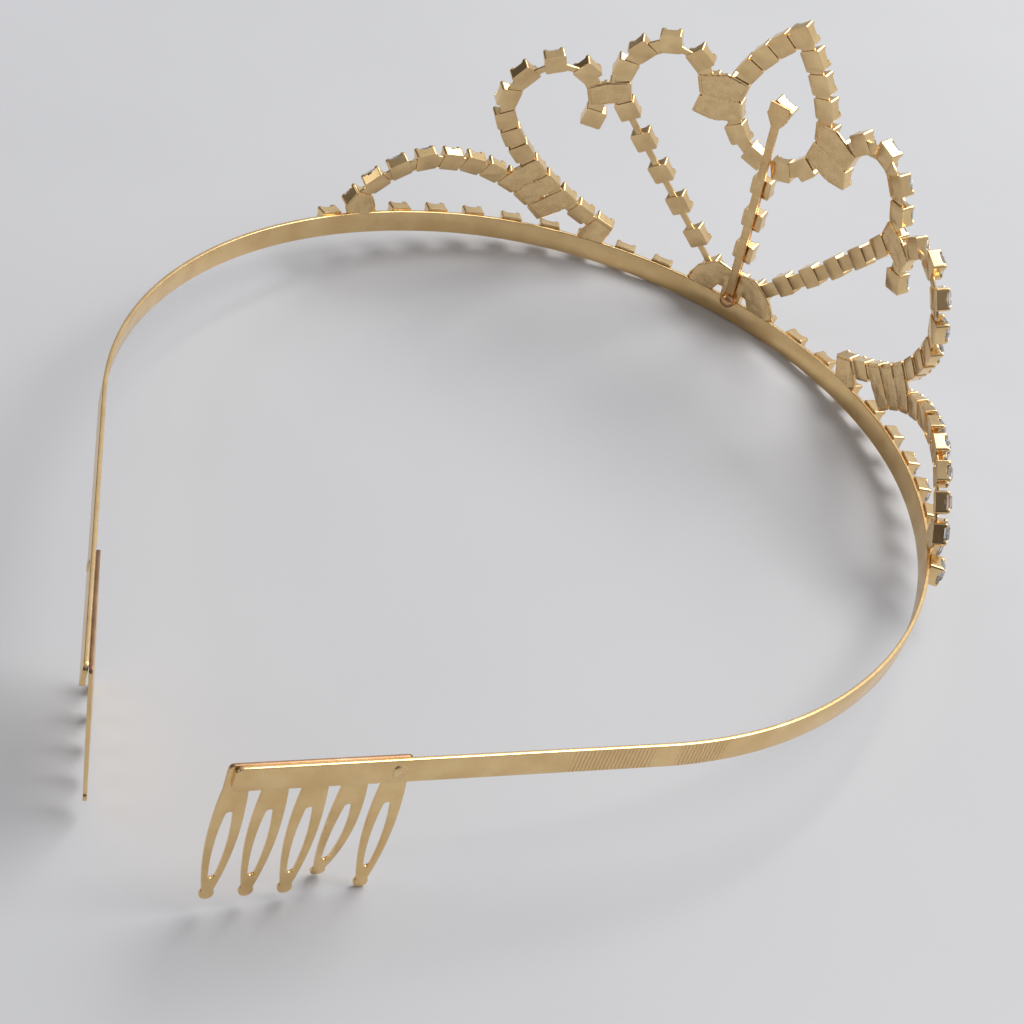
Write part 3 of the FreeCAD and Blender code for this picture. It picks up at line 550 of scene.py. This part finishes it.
def bend_tooth(bm, place):
    """Bend one tooth of the right comb towards the head, more and more down to its tip."""
    tarnish_top(bm, place)
    low = min(vertex.co.x for vertex in bm.verts)
    high = max(vertex.co.x for vertex in bm.verts)
    low_is_front = (place @ Vector((low * MM, 0, 0))).y < (place @ Vector((high * MM, 0, 0))).y
    middle = low + BENT_TOOTH if low_is_front else high - BENT_TOOTH
    root = max(vertex.co.y for vertex in bm.verts) - SPINE_HEIGHT
    towards_head = 1 if place.col[2].x > 0 else -1
    for vertex in bm.verts:
        down = (root - vertex.co.y) / TOOTH_DROP
        if down > 0 and abs(vertex.co.x - middle) < TOOTH_HALF:
            vertex.co.z += towards_head * BENT_SWING * down ** 2


def make_strip(metal, scraped_metal):
    """The sprung strip: a rounded flat section swept round the bends, with rounded end corners."""
    bm = bmesh.new()
    along_layer = bm.loops.layers.uv.new("strip")
    count = int(2 * STRIP_HALF_LENGTH / STRIP_STEP)
    stations = [-STRIP_HALF_LENGTH + 2 * STRIP_HALF_LENGTH * i / count for i in range(count + 1)]
    for step in range(1, STRIP_END_STEPS + 1):
        inset = STRIP_END_CORNER * (1 - math.sin(math.radians(90 / STRIP_END_STEPS * step)))
        stations += [STRIP_HALF_LENGTH - inset, -STRIP_HALF_LENGTH + inset]
    stations = sorted(set(round(station, 4) for station in stations))
    rings = [strip_ring(bm, station) for station in stations]
    for (start, ring), (end, after) in zip(rings, rings[1:]):
        for index in range(len(ring)):
            other = (index + 1) % len(ring)
            face = bm.faces.new((ring[index], ring[other], after[other], after[index]))
            for loop, u in zip(face.loops, (start, start, end, end)):
                loop[along_layer].uv = (u / UV_UNIT, loop.vert.co.z / UV_UNIT)
            scraped_here = any(low < end / UV_UNIT and start / UV_UNIT < high for low, high in SCRAPES)
            face.material_index = 1 if index == OUTER_FACE and scraped_here else 0
    bm.faces.new(list(reversed(rings[0][1])))
    bm.faces.new(rings[-1][1])
    bmesh.ops.transform(bm, matrix=STRIP @ Matrix.Scale(MM, 4), verts=bm.verts)
    name = "headband_strip_look"
    mesh = mesh_from(name, bm, sharp_degrees=40)
    return add_piece(name, mesh, ["headband_strip"], [metal, scraped_metal])


def strip_ring(bm, station):
    """One station and the vertices of the strip's rounded section there."""
    middle, _, inward = strip_frame(station)
    left = STRIP_HALF_LENGTH - abs(station)
    half_width = STRIP_WIDTH / 2
    half_sheet = STRIP_SHEET / 2
    if left < STRIP_END_CORNER:
        corner = STRIP_END_CORNER
        drop = corner - math.sqrt(max(0, corner ** 2 - (corner - left) ** 2))
        half_width -= drop
    ring = []
    for x_side, z_side, start in ((1, 1, 0), (-1, 1, 90), (-1, -1, 180), (1, -1, 270)):
        for step in range(4):
            angle = math.radians(start + 30 * step)
            across = x_side * (half_sheet - STRIP_EDGE) + STRIP_EDGE * math.cos(angle)
            up = z_side * (half_width - STRIP_EDGE) + STRIP_EDGE * math.sin(angle)
            place = middle + inward * across
            ring.append(bm.verts.new((place.x, place.y, up)))
    return station, ring


def make_weld(name, node, material):
    """A spot weld: a low lumpy ring with a dent in it, on the strip's outer face."""
    points, _ = welded(node)
    centre = Vector(points.mean(axis=0))
    local = (STRIP.inverted() @ centre) / MM
    side = 1 if local.x > 0 else -1
    around = min(np.arange(*WELD_STRETCH), key=lambda s: (strip_frame(side * s)[0] - local).length)
    middle, along, inward = strip_frame(side * around)
    outward = -inward
    face = middle + outward * STRIP_SHEET / 2
    up = Vector((0, 0, 1))
    bm = bmesh.new()
    rows = []
    for radius, height in WELD_PROFILE:
        row = []
        for index in range(WELD_SPOKES):
            angle = index * math.tau / WELD_SPOKES
            spot = Vector((math.cos(angle) * radius, math.sin(angle) * radius, side))
            wobble = noise.noise(spot) * WELD_WOBBLE
            flat = along * math.cos(angle) + up * math.sin(angle)
            place = face + flat * radius * (1 + wobble) + outward * height * (1 + wobble * 2)
            row.append(bm.verts.new(place))
        rows.append(row)
    top = bm.verts.new(face + outward * WELD_DENT)
    for row, after in zip(rows, rows[1:]):
        for index in range(WELD_SPOKES):
            other = (index + 1) % WELD_SPOKES
            bm.faces.new((row[index], row[other], after[other], after[index]))
    for index in range(WELD_SPOKES):
        bm.faces.new((top, rows[0][(index + 1) % WELD_SPOKES], rows[0][index]))
    bm.faces.new(rows[-1])
    bmesh.ops.transform(bm, matrix=STRIP @ Matrix.Scale(MM, 4), verts=bm.verts)
    return add_piece(name, mesh_from(name, bm, sharp_degrees=80), [node], [material])


def cad_solids(node):
    """A CAD node's solids as a bmesh, in millimetres."""
    points, triangles = welded(node)
    bm = bmesh.new()
    verts = [bm.verts.new(point / MM) for point in points]
    for triangle in triangles:
        if len(set(triangle)) == 3:
            bm.faces.new([verts[index] for index in triangle])
    return bm


def softened(name, node, bm, material, voxel, rounds, swell):
    """Closed shapes in millimetres run together as lumpy metal: remeshed, smoothed and swelled back."""
    mesh = bpy.data.meshes.new(name)
    bm.to_mesh(mesh)
    bm.free()
    holder = bpy.data.objects.new(name, mesh)
    bpy.context.scene.collection.objects.link(holder)
    remesh = holder.modifiers.new("remesh", "REMESH")
    remesh.mode = "VOXEL"
    remesh.voxel_size = voxel
    smooth = holder.modifiers.new("smooth", "SMOOTH")
    smooth.iterations = rounds
    smooth.factor = 0.5
    bpy.context.view_layer.update()
    raw = bpy.data.meshes.new_from_object(holder.evaluated_get(bpy.context.evaluated_depsgraph_get()))
    bpy.data.objects.remove(holder)
    bm = bmesh.new()
    bm.from_mesh(raw)
    bm.normal_update()
    for vertex in bm.verts:
        lump = noise.noise(vertex.co * LUMP_SCALE) * LUMP_HEIGHT
        vertex.co += vertex.normal * (swell + lump)
    bmesh.ops.transform(bm, matrix=Matrix.Scale(MM, 4), verts=bm.verts)
    return add_piece(name, mesh_from(name, bm, sharp_degrees=80), [node], [material])


def solder_plate(bm, start, end):
    """Solder that has run between the backs of two cups: a plate a little proud of them, in millimetres."""
    towards = end.translation - start.translation
    corners = []
    for place, way in ((start, towards), (end, -towards)):
        shift = way.normalized() * SOLDER_SHIFT * MM
        for x in (-SOLDER_HALF, SOLDER_HALF):
            for y in (-SOLDER_HALF, SOLDER_HALF):
                for z in (-SOLDER_PROUD, SOLDER_DEPTH):
                    corner = place @ Vector((x * MM, y * MM, z * MM)) + shift
                    corners.append(bm.verts.new(corner / MM))
    hull = bmesh.ops.convex_hull(bm, input=corners)
    inside = [item for item in hull["geom_interior"] if isinstance(item, bmesh.types.BMVert)]
    bmesh.ops.delete(bm, geom=inside, context="VERTS")


def chain_plates():
    """The plates between every two chains whose cups come close, as one bmesh in millimetres."""
    chains = {node: cup_places(node) for node in sorted(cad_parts) if node.endswith("_cups")}
    names = list(chains)
    bm = bmesh.new()
    for position, name in enumerate(names):
        for other in names[position + 1:]:
            for start in chains[name]:
                for end in chains[other]:
                    if (start.translation - end.translation).length < SOLDER_REACH * MM:
                        solder_plate(bm, start, end)
    return bm


def add_links(node, metal):
    """A chain's links: the CAD node's plain bars with rounded edges."""
    name = node + "_look"
    bm = cad_solids(node)
    bmesh.ops.dissolve_limit(bm, angle_limit=math.radians(2), verts=bm.verts, edges=bm.edges)
    bevel_sharp(bm, LINK_EDGE, degrees=25)
    bmesh.ops.transform(bm, matrix=Matrix.Scale(MM, 4), verts=bm.verts)
    return add_piece(name, mesh_from(name, bm, sharp_degrees=50), [node], [metal])


# ---------------------------------------------------------------- materials

class Nodes:
    """Small helper that adds shader nodes and links them by name."""

    def __init__(self, name):
        self.material = bpy.data.materials.new(name)
        self.material.use_nodes = True
        self.tree = self.material.node_tree
        self.shader = self.tree.nodes["Principled BSDF"]
        self.place = self.add("ShaderNodeTexCoord").outputs["Object"]

    def add(self, kind, **inputs):
        node = self.tree.nodes.new(kind)
        for name, value in inputs.items():
            self.plug(node, name.replace("_", " "), value)
        return node

    def plug(self, node, socket, value):
        target = node.inputs[socket]
        if isinstance(value, bpy.types.NodeSocket):
            self.tree.links.new(value, target)
        else:
            target.default_value = value

    def stretched(self, scale):
        mapping = self.add("ShaderNodeMapping")
        self.plug(mapping, "Vector", self.place)
        self.plug(mapping, "Scale", scale)
        return mapping.outputs["Vector"]

    def noise(self, scale, detail=4.0, rough=0.55, vector=None):
        node = self.add("ShaderNodeTexNoise", Scale=scale, Detail=detail, Roughness=rough)
        self.plug(node, "Vector", vector or self.place)
        return node.outputs["Fac"]

    def ramp(self, value, stops):
        node = self.add("ShaderNodeValToRGB", Fac=value)
        elements = node.color_ramp.elements
        while len(elements) < len(stops):
            elements.new(0.5)
        for element, (position, colour) in zip(elements, stops):
            element.position = position
            element.color = (*colour, 1.0)
        return node.outputs["Color"]

    def number(self, value, low, high, out_low, out_high):
        node = self.add("ShaderNodeMapRange", Value=value, From_Min=low, From_Max=high,
                        To_Min=out_low, To_Max=out_high)
        return node.outputs["Result"]

    def math(self, operation, first, second):
        node = self.add("ShaderNodeMath")
        node.operation = operation
        self.plug(node, 0, first)
        self.plug(node, 1, second)
        return node.outputs[0]

    def mix(self, factor, first, second, blend="MIX"):
        node = self.tree.nodes.new("ShaderNodeMix")
        node.data_type = "RGBA"
        node.blend_type = blend
        for socket, value in ((0, factor), (6, first), (7, second)):
            if isinstance(value, bpy.types.NodeSocket):
                self.tree.links.new(value, node.inputs[socket])
            else:
                node.inputs[socket].default_value = value if socket == 0 else (*value, 1.0)
        return node.outputs[2]

    def bump(self, height, strength, distance):
        node = self.add("ShaderNodeBump", Height=height, Strength=strength, Distance=distance)
        self.plug(self.shader, "Normal", node.outputs["Normal"])


def gold(name, light, dark, roughness, grain=0.03, wear=None):
    """Plated gold: two tones in soft patches, uneven satin roughness and faint die marks."""
    nodes = Nodes(name)
    patches = nodes.noise(PATCH_SCALE, 3.0)
    fine = nodes.noise(FINE_SCALE, 4.0, 0.6)
    tone = nodes.ramp(patches, ((0.35, dark), (0.65, light)))
    worn = nodes.ramp(fine, ((0.30, (0.86, 0.80, 0.72)), (0.55, (1.0, 1.0, 1.0))))
    colour = nodes.mix(0.16, tone, worn, "MULTIPLY")
    if wear:
        colour = wear(nodes, colour)
    nodes.plug(nodes.shader, "Base Color", colour)
    nodes.plug(nodes.shader, "Metallic", 1.0)
    uneven = nodes.number(fine, 0.3, 0.7, roughness - 0.015, roughness + 0.025)
    nodes.plug(nodes.shader, "Roughness", uneven)
    marks = nodes.noise(MARK_SCALE, 4.0, 0.6, nodes.stretched(MARK_STRETCH))
    nodes.bump(nodes.mix(0.5, fine, marks), strength=grain, distance=0.00001)
    return nodes.material


def scraped(nodes, colour):
    """Brown slanting scrape marks on the outer face of the right arm, a little in front of the comb."""
    place = nodes.add("ShaderNodeUVMap")
    place.uv_map = "strip"
    around = nodes.add("ShaderNodeSeparateXYZ", Vector=place.outputs["UV"]).outputs["X"]
    fades = []
    for start, end in SCRAPES:
        rising = nodes.number(around, start, start + SCRAPE_FADE, 0.0, 1.0)
        falling = nodes.number(around, end - SCRAPE_FADE, end, 1.0, 0.0)
        fades.append(nodes.math("MULTIPLY", rising, falling))
    zone = nodes.math("MAXIMUM", *fades)
    slant = (0.0, 0.0, math.radians(SCRAPE_SLANT))
    slanted = nodes.add("ShaderNodeMapping", Vector=place.outputs["UV"], Rotation=slant)
    strokes = nodes.add("ShaderNodeTexWave", Vector=slanted.outputs["Vector"], Scale=SCRAPE_SCALE,
                        Distortion=2.5, Detail=3.0, Detail_Scale=2.0)
    lines = nodes.number(strokes.outputs["Fac"], 0.55, 0.8, 0.0, SCRAPE_STRENGTH)
    return nodes.mix(nodes.math("MULTIPLY", lines, zone), colour, SCRAPE_BROWN)


def solder_metal(name, light, dark):
    """Plated solder: lumpier than the sheet, and darker in the hollows."""
    nodes = Nodes(name)
    lumps = nodes.noise(SOLDER_SCALE, 3.0)
    nodes.plug(nodes.shader, "Base Color", nodes.ramp(lumps, ((0.38, dark), (0.6, light))))
    nodes.plug(nodes.shader, "Metallic", 1.0)
    nodes.plug(nodes.shader, "Roughness", nodes.number(lumps, 0.3, 0.7, 0.24, 0.32))
    nodes.bump(lumps, strength=0.25, distance=0.00005)
    return nodes.material


def cut_glass():
    """Cut glass: clear with a trace of white, and very slightly uneven."""
    nodes = Nodes("cut_glass")
    nodes.plug(nodes.shader, "Base Color", (0.97, 0.98, 1.0, 1.0))
    nodes.plug(nodes.shader, "Transmission Weight", 0.9)
    nodes.plug(nodes.shader, "IOR", 1.58)
    nodes.plug(nodes.shader, "Roughness", nodes.number(nodes.noise(GLASS_SCALE), 0.4, 0.7, 0.0, 0.03))
    return nodes.material


def stone_foil():
    """The foil behind a stone: silver, very slightly specked."""
    nodes = Nodes("stone_foil")
    light, dark = FOIL_TONES
    silver = nodes.ramp(nodes.noise(FOIL_SCALE), ((0.35, dark), (0.65, light)))
    nodes.plug(nodes.shader, "Base Color", silver)
    nodes.plug(nodes.shader, "Metallic", 1.0)
    nodes.plug(nodes.shader, "Roughness", 0.14)
    return nodes.material


def paper():
    """Plain pale floor with the faintest tooth."""
    nodes = Nodes("pale_floor")
    light, dark = PAPER_TONES
    grey = nodes.ramp(nodes.noise(PAPER_SCALE, 3.0), ((0.3, dark), (0.7, light)))
    nodes.plug(nodes.shader, "Base Color", grey)
    nodes.plug(nodes.shader, "Roughness", 0.55)
    nodes.plug(nodes.shader, "Specular IOR Level", 0.3)
    nodes.bump(nodes.noise(FINE_SCALE, 3.0), strength=0.15, distance=0.00003)
    return nodes.material


# ---------------------------------------------------------------- the crown

def build_chains():
    """Cups, stones and links of every chain."""
    cup, stone = make_cup(), make_stone()
    cup_metal = gold("cup_plating", *CUP_TONES, 0.18)
    glass, foil = cut_glass(), stone_foil()
    draw = random.Random(SEED)
    chains = sorted(name[:-len("_cups")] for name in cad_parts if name.endswith("_cups"))
    for chain in chains + ["post"]:
        plural = "" if chain == "post" else "s"
        cup_node = chain + "_cup" + plural
        stone_node = chain + "_stone" + plural
        places = [jittered(place, draw) for place in cup_places(cup_node)]
        cups = copies(cup_node, cup, places)
        stones = copies(stone_node, stone, places, FACET_DEGREES)
        add_piece(cup_node + "_look", cups, [cup_node], [cup_metal])
        add_piece(stone_node + "_look", stones, [stone_node], [glass, foil])
        if chain != "post":
            add_links(chain + "_links", cup_metal)


def jittered(place, draw):
    """The small unevenness of a hand-soldered cup: a slight turn and tilt about its back's centre."""
    for axis in "ZXY":
        place = place @ Matrix.Rotation(math.radians(draw.uniform(-CUP_TURN, CUP_TURN)), 4, axis)
    return place


def build_crown():
    """Every piece of the crown, with its metal, glass and solder."""
    strip_metal = gold("strip_plating", PALE, WARM, 0.24)
    comb_metal = gold("comb_plating", PALE, WARM, 0.25)
    post_metal = gold("post_plating", PALE, DEEP, 0.28)
    joint = solder_metal("joint_solder", *SOLDER_TONES)
    copper = solder_metal("copper_solder", *COPPER_TONES)
    scraped_metal = gold("scraped_plating", PALE, WARM, 0.26, 0.08, scraped)
    tarnished = gold("tarnished_plating", *TARNISH_TONES, 0.34)
    make_strip(strip_metal, scraped_metal)
    for side, shape in (("left", tarnish_top), ("right", bend_tooth)):
        comb = side + "_comb"
        add_stamped(comb + "_look", comb, [comb_metal, tarnished], COMB_EDGE, shape)
        make_weld(comb + "_weld_look", comb + "_weld", joint)
    add_stamped("centre_post_look", "centre_post", [post_metal], POST_EDGE)
    build_chains()
    plates = chain_plates()
    softened("chain_solder_look", "chain_solder", plates, joint, voxel=0.15, rounds=3, swell=0.02)
    blob = cad_solids("post_solder")
    softened("post_solder_look", "post_solder", blob, copper, voxel=0.1, rounds=8, swell=0.04)


# ---------------------------------------------------------------- studio

def add_floor():
    """A broad pale table under the crown."""
    bm = bmesh.new()
    bmesh.ops.create_grid(bm, x_segments=FLOOR_CELLS, y_segments=FLOOR_CELLS, size=FLOOR_HALF)
    bmesh.ops.translate(bm, vec=(0, 0, CAD_BOX[0][2] - FLOOR_GAP), verts=bm.verts)
    mesh = mesh_from("floor", bm)
    mesh.materials.append(paper())
    floor = bpy.data.objects.new("floor", mesh)
    bpy.context.scene.collection.objects.link(floor)


def add_light(name, place, width, height, power, colour):
    """A soft box: an area light at a place from the crown's middle, turned to face it."""
    light = bpy.data.lights.new(name, "AREA")
    light.shape = "RECTANGLE"
    light.size = width
    light.size_y = height
    light.energy = power
    light.color = colour
    lamp = bpy.data.objects.new(name, light)
    lamp.location = CENTRE + Vector(place)
    lamp.rotation_euler = (CENTRE - lamp.location).to_track_quat("-Z", "Y").to_euler()
    bpy.context.scene.collection.objects.link(lamp)


def add_world():
    """Dim room that brightens towards the window side, as metal and glass see it."""
    world = bpy.data.worlds.new("studio")
    bpy.context.scene.world = world
    world.use_nodes = True
    tree = world.node_tree
    background = tree.nodes["Background"]
    direction = tree.nodes.new("ShaderNodeTexCoord")
    facing = tree.nodes.new("ShaderNodeVectorMath")
    facing.operation = "DOT_PRODUCT"
    facing.inputs[1].default_value = Vector(BRIGHT_SIDE).normalized()
    tree.links.new(direction.outputs["Generated"], facing.inputs[0])
    shade = tree.nodes.new("ShaderNodeValToRGB")
    tree.links.new(facing.outputs["Value"], shade.inputs["Fac"])
    for element, (position, colour) in zip(shade.color_ramp.elements, WORLD_SHADES):
        element.position = position
        element.color = (*colour, 1.0)
    tree.links.new(shade.outputs["Color"], background.inputs["Color"])
    background.inputs["Strength"].default_value = WORLD_STRENGTH


def add_studio():
    """A large soft window in front and to the wearer's right, and a faint fill from the other side."""
    add_world()
    add_light("window", WINDOW_PLACE, WINDOW_WIDTH, WINDOW_HEIGHT, WINDOW_POWER, WINDOW_COLOUR)
    add_light("fill", FILL_PLACE, FILL_SIZE, FILL_SIZE, FILL_POWER, FILL_COLOUR)
    bpy.context.scene.view_settings.view_transform = "Standard"


def add_camera():
    """Camera looking down over the open back of the crown, rolled a little."""
    azimuth = math.radians(CAMERA_AZIMUTH)
    elevation = math.radians(CAMERA_ELEVATION)
    aside = math.sin(azimuth) * math.cos(elevation)
    back = -math.cos(azimuth) * math.cos(elevation)
    towards = Vector((aside, back, math.sin(elevation)))
    level = (-towards).cross(Vector((0, 0, 1))).normalized()
    upright = level.cross(-towards)
    roll = math.radians(CAMERA_ROLL)
    right = level * math.cos(roll) + upright * math.sin(roll)
    up = upright * math.cos(roll) - level * math.sin(roll)
    camera_data = bpy.data.cameras.new("camera")
    camera_data.sensor_width = CAMERA_SENSOR
    camera_data.lens = CAMERA_LENS
    camera_data.clip_start = 0.01
    camera = bpy.data.objects.new("camera", camera_data)
    camera.matrix_world = Matrix((right, up, towards)).transposed().to_4x4()
    slide = right * CAMERA_SLIDE[0] + up * CAMERA_SLIDE[1]
    camera.matrix_world.translation = CENTRE + (towards * CAMERA_DISTANCE + slide) * MM
    bpy.context.scene.collection.objects.link(camera)
    bpy.context.scene.camera = camera


build_crown()
add_floor()
add_studio()
add_camera()
